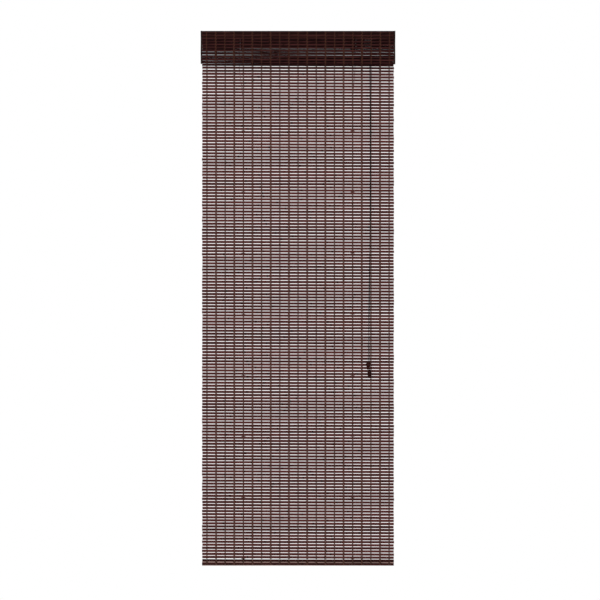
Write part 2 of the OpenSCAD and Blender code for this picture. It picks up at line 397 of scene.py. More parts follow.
# A slat's section as shares of half its thickness and height: front face to the left, bevelled
# front edges, and slightly eased back edges, anticlockwise seen from +X
SLAT_LOWER = ((-1.0, -0.62), (-0.4, -1.0), (0.7, -1.0), (1.0, -0.9), (1.0, -0.6))
SLAT_UPPER = ((1.0, 0.6), (1.0, 0.9), (0.7, 1.0), (-0.4, 1.0))
SLAT_SECTION = np.array([(-1.0, 0.62), *SLAT_LOWER, *SLAT_UPPER])
SLAT_EDGE = np.array([0.0, 0.0, 1.0, 1.0, 1.0, 0.0, 0.0, 1.0, 1.0, 1.0])

# A slat's stations are its ends and three round each of two nodes. A node swells by shares of the
# slat's thickness and height within NODE_NEAR, and all its stations stand off by one bend.
STATION_SWELL = np.array([0.0, 0.0, 1.0, 0.0, 0.0, 1.0, 0.0, 0.0])
STATION_BEND = [0, 1, 1, 1, 2, 2, 2, 3]
NODE_NEAR = 3.5 * MM
NODE_DEEP = 0.14
NODE_TALL = 0.03

# From where to where the first node may be, and the second past it, as shares of half the width, and
# how slats differ in height
FIRST_NODE = (-0.8, -0.1)
SECOND_NODE = (0.62, 0.95)
TALL_RANGE = (0.97, 1.03)


def slat_sections(rng, centres, y, height, slope):
    """Slats along X, one for each height in centres.

    Each is the slat section carried from one end to the other. A slat's height falls with x
    by slope. It is straight between its nodes, and its ends and nodes stand above or below
    that line by up to its crook.
    Returns sections and, for each point, tone, nearness to a node and to an edge.
    """
    size = sizes()
    n = len(centres)
    ends = HALF_WIDTH + size.tooth * rng.uniform(-1, 1, (n, 2))
    first = rng.uniform(*FIRST_NODE, n) * HALF_WIDTH
    second = first + rng.uniform(*SECOND_NODE, n) * HALF_WIDTH
    nodes = [node + side for node in (first, second) for side in (-NODE_NEAR, 0, NODE_NEAR)]
    x = np.stack([-ends[:, 0], *nodes, ends[:, 1]], 1)
    bend = size.crook * rng.uniform(-1, 1, (n, 4))[:, STATION_BEND]
    z = centres[:, None] - np.tan(slope).reshape(-1, 1) * x + bend
    deep = size.slat_thick / 2 * (1 + NODE_DEEP * STATION_SWELL)
    tall = height / 2 * rng.uniform(*TALL_RANGE, n)[:, None] * (1 + NODE_TALL * STATION_SWELL)
    sections = np.empty((n, len(STATION_SWELL), len(SLAT_SECTION), 3))
    sections[..., 0] = x[:, :, None]
    sections[..., 1] = y + deep[None, :, None] * SLAT_SECTION[:, 0]
    sections[..., 2] = z[:, :, None] + tall[:, :, None] * SLAT_SECTION[:, 1]
    shape = sections.shape[:3]
    tone = np.broadcast_to(rng.uniform(0, 1, n)[:, None, None], shape)
    knot = np.broadcast_to(STATION_SWELL[None, :, None], shape)
    edge = np.broadcast_to(SLAT_EDGE, shape)
    return sections, np.stack([tone, knot, edge], -1).reshape(-1, 3)


# Columns of threads to each side of the middle one, how steeply a thread crosses from face to face
# of the mat, its thickness as a share of its width, its number of sides, and the least share of a
# row from a slat's edge to the middle of the gap
SIDE_COLUMNS = 10
THREAD_STEEP = 3.5
THREAD_FLAT = 0.24
THREAD_SIDES = 5
LEAST_GAP = 0.03


def thread_piece(name, turns, heights, y, slope, looks):
    """Two threads for each column, wound round each other between the slats.

    With a the row number less a half, times half a turn, one thread lies at cos(a) in
    front of the slats and sin(a) to the side, and its partner opposite. The cosine is
    steepened by a hyperbolic tangent so the threads lie flat on the slats. Each row
    number has its height at the mat's middle and the slope of the slats there.
    Thick pairs have the first of the looks, and thin ones the second.
    """
    size = sizes()
    columns = np.arange(-SIDE_COLUMNS, SIDE_COLUMNS + 1)
    thick = columns % 2 == 1
    width = np.where(thick, size.thick_thread, size.thin_thread)
    angle = np.pi * (np.asarray(turns) - 0.5)
    across = np.tanh(THREAD_STEEP * np.cos(angle)) / np.tanh(THREAD_STEEP)
    hand = np.array([1.0, -1.0])[None, :, None]
    depth = (size.slat_thick / 2 + THREAD_FLAT / 2 * width)[:, None, None]
    sway = (width / 2)[:, None, None] * np.sin(angle)
    paths = np.empty((len(columns), 2, len(angle), 3))
    paths[..., 0] = (columns * size.thread_pitch)[:, None, None] + hand * sway
    paths[..., 1] = y - hand * depth * across
    paths[..., 2] = heights - np.tan(slope) * paths[..., 0]
    paths = paths.reshape(-1, len(angle), 3)
    width, kind = np.repeat(width, 2), np.repeat(np.where(thick, 0, 1), 2)
    return tube_piece(name, paths, width, THREAD_FLAT * width, THREAD_SIDES, looks, kind)


def slat_edge_share(height, pitch):
    """How far, in rows, a slat's edge lies from the middle of the gap beside it."""
    return max(LEAST_GAP, (pitch - height) / 2 / pitch)


def even_lines(top, rows, pitch):
    """Heights of the lines between even rows, the ends included."""
    return top - pitch * np.arange(rows + 1)


MAT_SLATS = "stained_split_bamboo"
# The shaded copy of the slats' finish: painted shade for slats with little light from behind
SHADED_SLATS = "backed_split_bamboo"
MAT_THREADS = ("thick_cotton_thread", "thin_cotton_thread")
SHADED_THREADS = ("dark_cotton_thread", "dark_cotton_thread")


def woven(name, node, body, lines, y, height, slope, rng, looks, threads=MAT_THREADS):
    """A stretch of mat: its slats between the lines, and the threads that hold them.

    The slats' finish is one for all, or one for each row.
    """
    rows = len(lines) - 1
    looks = np.broadcast_to(looks, rows).tolist()
    finishes = sorted(set(looks))
    kind = np.array([finishes.index(look) for look in looks])
    slope = np.broadcast_to(slope, rows)
    centres = (lines[:-1] + lines[1:]) / 2
    sections, marks = slat_sections(rng, centres, y, height, slope)
    points, faces, wall = skin(sections)
    which = each_face(kind, wall)
    slats = piece(f"{name}_slats", points, faces, finishes, which=which, marks=marks)
    share = slat_edge_share(height, (lines[0] - lines[-1]) / rows)
    turns = np.arange(rows)[:, None] + np.array([share, 0.5, 1 - share, 1.0])
    turns = turns.ravel()[:-1]
    heights = np.interp(turns, np.arange(rows + 1), lines)
    turned = np.interp(turns, np.arange(rows) + 0.5, slope)
    twines = thread_piece(f"{name}_threads", turns, heights, y, turned, threads)
    for obj, slot in ((slats, "bamboo"), (twines, "cord")):
        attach(obj, body)
        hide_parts(node)


# Finishes


def add(tree, kind, sockets=None, stops=(), **settings):
    """Adds a shader node with its settings, the stops of a colour ramp, and its sockets.

    A socket takes a value, a link from another socket, or a link from a node's first output.
    Stops are pairs of place and colour.
    """
    made = tree.nodes.new("ShaderNode" + kind)
    for key, value in settings.items():
        setattr(made, key, value)
    if stops:
        band = made.color_ramp.elements
        while len(band) < len(stops):
            band.new(0.5)
        for element, (place, colour) in zip(band, stops):
            element.position = place
            element.color = opaque(colour)
    for key, value in (sockets or {}).items():
        if isinstance(value, bpy.types.Node):
            value = value.outputs[0]
        if isinstance(value, bpy.types.NodeSocket):
            tree.links.new(value, made.inputs[key])
        else:
            made.inputs[key].default_value = value
    return made


# A wave texture at these scales has one band for each unit: of x, y and z added, or of z alone
DIAGONAL_BAND = 0.62832
UPRIGHT_BAND = 0.31416

# Shares of a second pattern in a first: a slat's own tone in its fibres, plies in lint, cross threads
# in ribs, and pores in growth rings
TONE_SHARE = 0.16
PLY_SHARE = 0.55
PICK_SHARE = 0.4
PORE_SHARE = 0.35


def bamboo_finish(tree, place, stain, clear, clear_edge, edge_wear_and_painted_light):
    """Split bamboo, dark stained and rubbed back.

    The eye sees straight fibres 0.4 to 1.2 mm wide, a different depth of stain on each slat,
    a dark line at each node and a low satin sheen. Light from behind shows through by the
    share clear, and by clear_edge more along the edges. The edges are painted paler where
    edge_wear_and_painted_light is above 0, as rubbed stain together with painted light from
    the gaps, and painted darker where it is below, as painted shade between the rows. The
    stain is pairs of depth and colour, from dark to light.
    """
    tint = colours()
    mark = add(tree, "Attribute", attribute_name="slat").outputs["Vector"]
    tone, knot, edge = add(tree, "SeparateXYZ", {"Vector": mark}).outputs
    # 40 mm long and 1.2 mm wide
    drawn = add(tree, "Mapping", {"Vector": place, "Scale": (25, 830, 830)})
    fibre = add(tree, "TexNoise", {"Vector": drawn, "Scale": 1.0, "Detail": 5.0})
    # 16 mm long and 0.4 mm wide
    drawn = add(tree, "Mapping", {"Vector": place, "Scale": (62, 2500, 2500)})
    hair = add(tree, "TexNoise", {"Vector": drawn, "Scale": 1.0, "Detail": 3.0})
    depth = add(tree, "Math", {0: tone, 1: TONE_SHARE, 2: fibre}, operation="MULTIPLY_ADD")
    # Painted light and shade on the edges: paler as painted light with rubbed stain, darker as
    # painted shade between the rows
    painted_and_worn_edges = add(tree, "Math", {0: edge, 1: edge_wear_and_painted_light, 2: depth}, operation="MULTIPLY_ADD")
    stained = add(tree, "ValToRGB", {"Fac": painted_and_worn_edges}, stain)
    ends = {"Factor": knot, "A": stained, "B": opaque(tint.slat_node)}
    ringed = add(tree, "Mix", ends, data_type="RGBA")
    gloss = add(tree, "MapRange", {"Value": hair, "To Min": 0.4, "To Max": 0.62})
    bump = add(tree, "Bump", {"Height": hair, "Strength": 0.35, "Distance": 0.25 * MM})
    shader = add(
        tree,
        "BsdfPrincipled",
        {
            "Base Color": ringed.outputs["Result"],
            "Roughness": gloss,
            "Normal": bump,
            "Specular IOR Level": 0.03,
        },
    )
    ends = {"Factor": edge, "A": opaque(tint.slat_glow), "B": opaque(tint.edge_glow)}
    lit = add(tree, "Mix", ends, data_type="RGBA")
    glow = add(tree, "BsdfTranslucent", {"Color": lit.outputs["Result"]})
    thin = add(tree, "Math", {0: edge, 1: clear_edge, 2: clear}, operation="MULTIPLY_ADD")
    return add(tree, "MixShader", {0: thin, 1: shader, 2: glow})


def mat_bamboo(tree, place):
    """Slats in open light, painted paler along their edges, partly as rubbed stain and partly as
    painted light where light comes through from behind.
    """
    tint = colours()
    stain = ((0.26, tint.slat_dark), (0.5, tint.slat_mid), (0.88, tint.slat_light))
    return bamboo_finish(tree, place, stain, clear=0.04, clear_edge=0.36, edge_wear_and_painted_light=0.14)


def shaded_bamboo(tree, place):
    """A shaded copy of the slats' finish, for slats with almost no light from behind: darker stain
    colours as painted shade, less light through, and painted shade along their edges between the
    rows.
    """
    tint = colours()
    stain = ((0.2, tint.shaded_slat_dark), (0.48, tint.shaded_slat_mid), (0.78, tint.shaded_slat_light))
    return bamboo_finish(tree, place, stain, clear=0.02, clear_edge=0.0, edge_wear_and_painted_light=-2.5)


def spun_finish(tree, place, tint, ply, turns, strength):
    """Spun or braided cotton, matt and slightly hairy.

    The eye sees slanting plies, as many round the thread as turns says, and one every ply
    metres along it. With more than two turns, a second set the other way makes a braid.
    """
    colour = getattr(colours(), tint)
    lay = add(tree, "UVMap", uv_map="lay")
    bands = []
    for hand in (1, -1) if turns > 2 else (1,):
        turned = add(tree, "Mapping", {"Vector": lay, "Scale": (hand * turns, 1 / ply, 1)})
        wave = {"Vector": turned, "Scale": DIAGONAL_BAND}
        band = add(tree, "TexWave", wave, wave_type="BANDS", bands_direction="DIAGONAL")
        bands.append(band.outputs["Fac"])
    height = bands[0]
    if len(bands) == 2:
        height = add(tree, "Math", {0: bands[0], 1: bands[1]}, operation="MAXIMUM")
    # Lint and uneven colour of the yarn, in patches of about 3 mm
    lint = add(tree, "TexNoise", {"Vector": place, "Scale": 330.0, "Detail": 3.0})
    mixed = add(tree, "Math", {0: height, 1: PLY_SHARE, 2: lint}, operation="MULTIPLY_ADD")
    pale = tuple(min(1.0, 1.3 * c + 0.004) for c in colour)
    # Partly painted shade: the plies' relief darkens the colour in the grooves and pales it on the
    # crowns, along with lint and uneven colour
    tones = ((0.3, times(colour, 0.45)), (0.72, colour), (1.0, pale))
    dye_and_groove_shade = add(tree, "ValToRGB", {"Fac": mixed}, tones)
    bump = add(tree, "Bump", {"Height": height, "Strength": strength, "Distance": 0.15 * MM})
    return add(
        tree,
        "BsdfPrincipled",
        {
            "Base Color": dye_and_groove_shade,
            "Roughness": 0.88,
            "Normal": bump,
            "Specular IOR Level": 0.2,
            "Sheen Weight": 0.04,
            "Sheen Roughness": 0.5,
        },
    )


def tape_finish(tree, place):
    """Twill tape, dyed dark.

    The eye sees slanting ribs every 0.9 mm along the tape, crossed by finer threads, and no shine.
    """
    colour = colours().tape
    wave = {"Vector": place, "Scale": DIAGONAL_BAND / (0.9 * MM), "Distortion": 0.6}
    ribs = add(tree, "TexWave", wave, wave_type="BANDS", bands_direction="DIAGONAL")
    # One cross thread every 0.7 mm
    wave = {"Vector": place, "Scale": UPRIGHT_BAND / (0.7 * MM)}
    picks = add(tree, "TexWave", wave, wave_type="BANDS", bands_direction="Z")
    woven_in = {0: picks.outputs["Fac"], 1: PICK_SHARE, 2: ribs.outputs["Fac"]}
    cloth = add(tree, "Math", woven_in, operation="MULTIPLY_ADD")
    # Partly painted shade: the ribs and cross threads darken the colour between them and pale it on
    # their tops
    tones = ((0.1, times(colour, 0.4)), (1.0, times(colour, 1.5)))
    dye_and_groove_shade = add(tree, "ValToRGB", {"Fac": cloth}, tones)
    bump = add(tree, "Bump", {"Height": cloth, "Strength": 0.5, "Distance": 0.2 * MM})
    return add(
        tree,
        "BsdfPrincipled",
        {
            "Base Color": dye_and_groove_shade,
            "Roughness": 0.9,
            "Normal": bump,
            "Specular IOR Level": 0.15,
            "Sheen Weight": 0.1,
        },
    )


def timber_finish(tree, place, tint, stretch, rough):
    """Planed softwood or turned beech under a stain.

    The eye sees long grain, darker where the stain sank in, short pores and a satin surface.
    """
    colour = getattr(colours(), tint)
    # Growth rings about 5 mm apart, drawn out along the grain
    scale = tuple(200 * s for s in stretch)
    drawn = add(tree, "Mapping", {"Vector": place, "Scale": scale})
    noise = {"Vector": drawn, "Scale": 1.0, "Detail": 4.0, "Distortion": 0.8}
    rings = add(tree, "TexNoise", noise)
    # Pores about 0.5 mm wide
    scale = tuple(2000 * s for s in stretch)
    drawn = add(tree, "Mapping", {"Vector": place, "Scale": scale})
    pores = add(tree, "TexNoise", {"Vector": drawn, "Scale": 1.0, "Detail": 2.0})
    both = add(tree, "Math", {0: pores, 1: PORE_SHARE, 2: rings}, operation="MULTIPLY_ADD")
    tones = ((0.42, times(colour, 0.35)), (0.7, colour), (0.95, times(colour, 1.6)))
    stain = add(tree, "ValToRGB", {"Fac": both}, tones)
    spread = {"Value": pores, "To Min": rough - 0.08, "To Max": rough + 0.15}
    gloss = add(tree, "MapRange", spread)
    bump = add(tree, "Bump", {"Height": both, "Strength": 0.2, "Distance": 0.2 * MM})
    surface = {"Base Color": stain, "Roughness": gloss, "Normal": bump, "Specular IOR Level": 0.08}
    return add(tree, "BsdfPrincipled", surface)


def metal_finish(tree, place, tint, rough, grain):
    """Bright plate or turned brass.

    The eye sees a clear metal reflection broken by fine marks grain metres apart,
    duller in cloudy patches.
    """
    colour = getattr(colours(), tint)
    marks = add(tree, "TexNoise", {"Vector": place, "Scale": 1 / grain, "Detail": 4.0})
    # Clouds of about 4 mm
    cloud = add(tree, "TexNoise", {"Vector": place, "Scale": 250.0, "Detail": 2.0})
    tones = ((0.3, times(colour, 0.72)), (0.7, colour))
    plate = add(tree, "ValToRGB", {"Fac": cloud}, tones)
    spread = {"From Min": 0.3, "From Max": 0.7, "To Min": rough + 0.12, "To Max": rough - 0.06}
    gloss = add(tree, "MapRange", {"Value": cloud, **spread})
    bump = add(tree, "Bump", {"Height": marks, "Strength": 0.12, "Distance": 0.05 * MM})
    surface = {"Base Color": plate, "Metallic": 1.0, "Roughness": gloss, "Normal": bump}
    return add(tree, "BsdfPrincipled", surface)


def floor_finish(tree, place):
    """Painted studio floor, matt and pale, with a faint cloudiness about 0.3 m across."""
    colour = colours().floor
    cloud = add(tree, "TexNoise", {"Vector": place, "Scale": 3.0})
    tones = ((0.0, times(colour, 0.97)), (1.0, colour))
    paint = add(tree, "ValToRGB", {"Fac": cloud}, tones)
    surface = {"Base Color": paint, "Roughness": 0.9, "Specular IOR Level": 0.1}
    return add(tree, "BsdfPrincipled", surface)


# How far timber patterns are drawn out along the grain of a board, and of an upright turning
BOARD_GRAIN = (0.035, 1.0, 1.0)
TURNED_GRAIN = (1.0, 1.0, 0.06)

# What makes each finish, and its values: first a colour, then ply, turns and relief for cotton,
# grain and roughness for timber, roughness and distance of marks for metal
FINISHES = {
    "stained_split_bamboo": (mat_bamboo,),
    "backed_split_bamboo": (shaded_bamboo,),
    "thick_cotton_thread": (spun_finish, "thick_thread", 1.6 * MM, 2, 0.5),
    "thin_cotton_thread": (spun_finish, "thin_thread", 1.2 * MM, 2, 0.5),
    # A darker copy of the cotton, as painted shade on the valance
    "dark_cotton_thread": (spun_finish, "valance_thread", 1.6 * MM, 2, 0.5),
    "braided_cotton_cord": (spun_finish, "cord", 2.2 * MM, 3, 0.6),
    "dark_twill_tape": (tape_finish,),
    "stained_pine": (timber_finish, "timber", BOARD_GRAIN, 0.5),
    # Pine stained pale, partly as painted light for the bar's face in the hem's gap
    "pale_stained_pine": (timber_finish, "bar", BOARD_GRAIN, 0.5),
    "stained_turned_beech": (timber_finish, "tassel", TURNED_GRAIN, 0.38),
    "zinc_plated_steel": (metal_finish, "steel", 0.3, 0.5 * MM),
    "turned_brass": (metal_finish, "brass", 0.24, 0.35 * MM),
    "pale_floor_paint": (floor_finish,),
}


def finish(name):
    """The material of that name, made at its first use."""
    material = bpy.data.materials.get(name)
    if material is None:
        maker, *values = FINISHES[name]
        material = bpy.data.materials.new(name)
        material.use_nodes = True
        tree = material.node_tree
        tree.nodes.clear()
        place = add(tree, "TexCoord").outputs["Object"]
        add(tree, "OutputMaterial", {"Surface": maker(tree, place, *values)})
    return material


# Pieces


class SHADE_OT_stage(bpy.types.Operator):
    """Camera, soft lights, white surround and pale floor"""

    bl_idname = "shade.stage"
    bl_label = "Stage"

    def execute(self, context):
        scene = context.scene
        scene.view_settings.view_transform = "Standard"
        camera = bpy.data.cameras.new("photo_camera")
        camera.sensor_width = SENSOR
        camera.lens = SENSOR * VIEW_DISTANCE / VIEW_WIDTH
        camera.clip_end = 10 * VIEW_DISTANCE
        stand = bpy.data.objects.new("photo_camera", camera)
        stand.location = Vector(VIEW_AIM) + Vector((0, -VIEW_DISTANCE, 0))
        stand.rotation_euler = (radians(90), 0, 0)
        scene.collection.objects.link(stand)
        scene.camera = stand

        for name, place, side, power in LIGHTS:
            lamp = bpy.data.lights.new(name, "AREA")
            lamp.shape = "SQUARE"
            lamp.size = side
            lamp.energy = power
            holder = bpy.data.objects.new(name, lamp)
            holder.location = place
            beam = Vector(LIGHT_AIM) - Vector(place)
            holder.rotation_euler = beam.to_track_quat("-Z", "Y").to_euler()
            holder.visible_camera = False
            scene.collection.objects.link(holder)

        world = bpy.data.worlds.new("white_surround")
        world.use_nodes = True
        scene.world = world
        tree = world.node_tree
        tree.nodes.clear()
        sight = add(tree, "LightPath").outputs["Is Camera Ray"]
        white = opaque(colours().surround)
        soft = add(tree, "Background", {"Color": white, "Strength": WORLD_LIGHT})
        seen = add(tree, "Background", {"Color": white, "Strength": WORLD_SEEN})
        both = add(tree, "MixShader", {0: sight, 1: soft, 2: seen})
        add(tree, "OutputWorld", {"Surface": both})

        turn = np.linspace(0, 2 * np.pi, FLOOR_SIDES, endpoint=False)
        rims = []
        for level_z, radius in zip(FLOOR_LEVELS, FLOOR_RADII):
            height = np.full_like(turn, level_z)
            rims.append(np.stack([radius * np.cos(turn), radius * np.sin(turn), height], -1))
        points, faces, _ = skin(np.stack(rims)[None, ::-1])
        floor = piece("pale_floor", points, faces, ["pale_floor_paint"])
        return {"FINISHED"}


# A cord's number of sides, and the finish of all cords
CORD_SIDES = 8
CORD_LOOKS = ("braided_cotton_cord",)


def cord_piece(name, path):
    """A round braided cord along its path, closed at both ends."""
    thick = sizes().cord
    return tube_piece(
        name, path[None], thick, thick, CORD_SIDES, CORD_LOOKS, across=(0.0, 1.0, 0.0)
    )


class SHADE_OT_pull_cords(bpy.types.Operator):
    """Two pull cords, from the lock roller down to their tassels"""

    bl_idname = "shade.pull_cords"
    bl_label = "Pull cords"

    def execute(self, context):
        angle = np.radians(np.arange(90, -1, -15))
        fall = TASSEL_DROP + DRAPE_Z
        for side, (tassel_x, tassel_y, tassel_z) in TASSELS.items():
            x = PULL_X + CORD_SIDE[side] * CORD_APART
            low_x = TASSEL_MIDDLE + CORD_SIDE[side] * CORD_APART
            y = LOCK_Y + CORD_SIDE[side] * CORD_GROOVE
            across, up = LOCK_X + WRAP * np.cos(angle), ROLLER_Z + WRAP * np.sin(angle)
            wrap = np.stack([across, np.full_like(angle, y), up], 1)
            hang = [(PULL_X, y, ROLLER_Z - 12 * MM), (x, y, ROLLER_Z - 30 * MM), (x, y, DRAPE_Z)]
            path = smooth_route(np.concatenate([wrap, hang]), 6 * MM)
            upper = cord_piece(f"pull_cord_{side}_over_roller", path)
            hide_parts(f"pull_cord_{side}_upper")
            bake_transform(upper)
            path = smooth_route(
                [
                    (x, y, DRAPE_Z),
                    (x, y, DRAPE_Z - 20 * MM),
                    (x, y, DRAPE_Z - LEAN_START * fall),
                    (low_x, y, DRAPE_Z - LEAN_END * fall),
                    (tassel_x, tassel_y, 2 * MM - TASSEL_DROP),
                    (tassel_x, tassel_y, tassel_z - TASSEL_BORE),
                ],
                25 * MM,
            )
            lower = cord_piece(f"pull_cord_{side}_to_tassel", path)
            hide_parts(f"pull_cord_{side}_lower")
            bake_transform(lower)
        return {"FINISHED"}


def level(k):
    """Height of ring level k; level 0 is the line where the mat starts to fold."""
    return -TOP_DROP - 2 * k * HALF_FOLD


class SHADE_OT_lift_cords(bpy.types.Operator):
    """Two lift cords, from the roller over the eyes and down through the rings"""

    bl_idname = "shade.lift_cords"
    bl_label = "Lift cords"

    def execute(self, context):
        # The cord's middle passes the middle of the eye's wire at this distance
        bend = EYE_WIRE + sizes().cord / 2 + 0.4 * MM
        angle = np.radians([90, 120, 150, 180])
        first_falls = {}
        for name, hand in LIFT_SIDE.items():
            y = LOCK_Y - hand * CORD_GROOVE
            eye = hand * EYE_X
            ring = hand * RING_X
            wire = EYE_Z - np.sqrt(EYE_MAJOR**2 - (y - LOCK_Y) ** 2)
            out = eye - bend
            # The left cord passes through the right eye on its way
            reach = [(eye + 14 * MM, y, EYE_Z - 3 * MM)]
            if hand < 0:
                reach = [
                    (EYE_X + 6 * MM, y, EYE_Z - 1 * MM),
                    (EYE_X - 6 * MM, y, EYE_Z - 2 * MM),
                    (eye + 30 * MM, y, EYE_Z - 4 * MM),
                ]
            first = [
                (LOCK_X, y, ROLLER_Z + WRAP),
                (LOCK_X - 8 * MM, y, ROLLER_Z + WRAP - 1 * MM),
                *reach,
                (eye + 3 * MM, y, wire + bend + 0.3 * MM),
            ]
            across, up = eye + bend * np.cos(angle), wire + bend * np.sin(angle)
            turn = np.stack([across, np.full_like(angle, y), up], 1)
            # Down behind the valance, back through the mat's gap one row above the first fold, and on
            # to the line of the rings
            below = [
                (out, y, wire - 5 * MM),
                (out, y + 0.3 * (MAT_Y - y), (wire + CROSS_Z) / 2),
                (out, MAT_Y - 4 * MM, CROSS_Z + 3 * MM),
                (out, MAT_Y - 2 * MM, CROSS_Z + 0.4 * MM),
                (out, MAT_Y, CROSS_Z),
                (out, MAT_Y + 1.6 * MM, CROSS_Z),
                (out, MAT_Y + 4.6 * MM, CROSS_Z - 2 * MM),
                (out, RING_Y - 0.8 * MM, CROSS_Z - 7 * MM),
                (out, RING_Y, level(0) - 0.5 * MM),
            ]
            path = smooth_route(np.concatenate([first, turn, below]), 5 * MM)
            cord = cord_piece(f"lift_cord_{name}_to_eye", path)
            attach(cord, "headrail")
            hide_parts(f"lift_cord_{name}")
            first_falls[name] = [
                (out, RING_Y, level(0)),
                (ring, RING_Y, level(0) - 1.25 * HALF_FOLD),
                (ring, RING_Y, level(0) - 1.4 * HALF_FOLD),
                (ring, RING_Y, level(1)),
            ]
        for k in range(1, FOLDS + 1):
            for name, hand in LIFT_SIDE.items():
                ring = hand * RING_X
                ends = [(ring, RING_Y, level(k - 1)), (ring, RING_Y, level(k))]
                path = smooth_route(first_falls[name] if k == 1 else ends, 12 * MM)
                cord = cord_piece(f"lift_cord_{name}_fall_{k}", path)
                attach(cord, "headrail" if k == 1 else f"ring_level_{k - 1}")
                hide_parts(f"lift_cord_{name}")
                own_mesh(cord)
        return {"FINISHED"}


class SHADE_OT_mat(bpy.types.Operator):
    """The mat of bamboo slats, from the headrail through the folds to the hem"""

    bl_idname = "shade.mat"
    bl_label = "Woven mat"

    def execute(self, context):
        size = sizes()
        height, slope = size.slat_height, size.slope
        # Behind the valance the slats' rise and sag make their gaps meet the valance's gaps, and let
        # light through, in two slanting bands
        row = np.arange(TOP_ROWS + 1)
        share = np.minimum(row / (TOP_ROWS - 1), 1)
        moved = TOP_RISE * (1 - share) - TOP_SAG * 4 * share * (1 - share)
        lines = even_lines(TOP_ROWS * PITCH - TOP_DROP, TOP_ROWS, PITCH) + moved
        fan = slope * np.interp(share[:-1], (0, 1), (TOP_FAN, 1))
        # Painted shade: the rows behind the valance take the shaded copy of the slats' finish, and
        # the last row, below the valance, the mat's own
        looks = [SHADED_SLATS] * (TOP_ROWS - 1) + [MAT_SLATS]
        rng = np.random.default_rng(size.top_seed)
        woven("mat_top", "mat_top", "headrail", lines, MAT_Y, TOP_SLAT, fan, rng, looks)
        rng = np.random.default_rng(size.seed)
        for k in range(1, FOLDS + 1):
            for part, top in (("upper", level(k - 1)), ("lower", level(k - 0.5))):
                name = f"fold_{k}_{part}"
                lines = even_lines(top, ROWS, PITCH)
                woven(name, name, f"{name}_half", lines, MAT_Y, height, slope, rng, MAT_SLATS)
        lines = even_lines(HEM_HEIGHT - SHADE_DROP, 2, HEM_HEIGHT / 2)
        # Painted shade: the hem's slats take the shaded copy of the slats' finish, for the bar behind
        # them
        woven("hem", "hem_mat", "hem", lines, MAT_Y, HEM_SLAT, slope, rng, SHADED_SLATS)
        return {"FINISHED"}


class SHADE_OT_fold_threads(bpy.types.Operator):
    """Short lengths of thread at the lines where the mat folds"""

    bl_idname = "shade.fold_threads"
    bl_label = "Threads across the folds"

    def execute(self, context):
        size = sizes()
        share = slat_edge_share(size.slat_height, PITCH)
        turns = share * np.array([-1, -0.5, 0, 0.5, 1])
        lines = []
        for k in range(1, FOLDS + 1):
            above = "headrail" if k == 1 else f"fold_{k - 1}_lower_half"
            upper, lower = f"fold_{k}_upper_half", f"fold_{k}_lower_half"
            lines.append((f"fold_{k}_threads_at_top", level(k - 1), above, upper))
            lines.append((f"fold_{k}_threads_at_crease", level(k - 0.5), upper, lower))
        last = f"fold_{FOLDS}_lower_half"
        lines.append(("hem_threads_at_top", level(FOLDS), last, "hem"))
        for name, height, above, below in lines:
            heights = height - turns * PITCH
            obj = thread_piece(name, turns, heights, MAT_Y, size.slope, MAT_THREADS)
            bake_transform(obj)
        return {"FINISHED"}


class SHADE_OT_valance(bpy.types.Operator):
    """The valance of slats in front of the headrail"""

    bl_idname = "shade.valance"
    bl_label = "Valance"

    def execute(self, context):
        size = sizes()
        rng = np.random.default_rng(size.valance_seed)
        # The top slat is level, and each one below slopes more
        slope = size.valance_slope * np.arange(VALANCE_ROWS) / (VALANCE_ROWS - 1)
        rows = (0, VALANCE_OPEN_ROWS, VALANCE_ROWS)
        drops = (0, VALANCE_CLOSE, VALANCE_DROP)
        lines = -np.interp(np.arange(VALANCE_ROWS + 1), rows, drops)
        looks = (SHADED_SLATS, SHADED_THREADS)
        woven("valance", "valance", "headrail", lines, VALANCE_Y, VALANCE_SLAT, slope, rng, *looks)
        return {"FINISHED"}


class SHADE_OT_edge_bands(bpy.types.Operator):
    """The tape that binds each end of the valance"""

    bl_idname = "shade.edge_bands"
    bl_label = "Edge bands"

    def execute(self, context):
        size = sizes()
        # A folded tape: a squared oval in plan, carried down the valance's end with a slight wave
        angle = 2 * np.pi * np.arange(16) / 16
        circle = np.stack([np.cos(angle), np.sin(angle)])
        squared = np.sign(circle) * np.sqrt(np.abs(circle))
        fall = np.linspace(1, 0, 36)
        inner, outer = HALF_WIDTH - BAND_LAP, HALF_WIDTH + BAND_REACH
        deep = (BAND_HIGH[1] - BAND_LOW[1]) / 2 + BAND_PLAY
        sections = []
        for hand in (-1, 1):
            low = -VALANCE_DROP - hand * HALF_WIDTH * np.tan(size.valance_slope) / 2
            middle = hand * (inner + outer) / 2
            wave = BAND_WAVE * np.sin(BAND_WAVES * fall + hand)
            section = np.empty((len(fall), len(angle), 3))
            section[..., 0] = middle + wave[:, None] + (outer - inner) / 2 * squared[0]
            section[..., 1] = (BAND_HIGH[1] + BAND_LOW[1]) / 2 + deep * squared[1]
            section[..., 2] = np.broadcast_to((low * fall)[:, None], section.shape[:2])
            sections.append(section)
        points, faces, wall = skin(np.stack(sections))
        bands = piece("valance_edge_tape", points, faces, ["dark_twill_tape"], smooth=2 * wall)
        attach(bands, "headrail")
        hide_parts("valance_edge_bands")
        return {"FINISHED"}


# A ring's tie: width of its thread, half its height, and half the spread of its two turns
TIE_WIDTH = 0.55 * MM
TIE_RISE = 0.95 * MM
TIE_SPREAD = 0.8 * MM

# A lift cord's knot: its size, and how far it hangs below the ring
KNOT_SIZE = 0.75 * MM
KNOT_DROP = 2.6 * MM


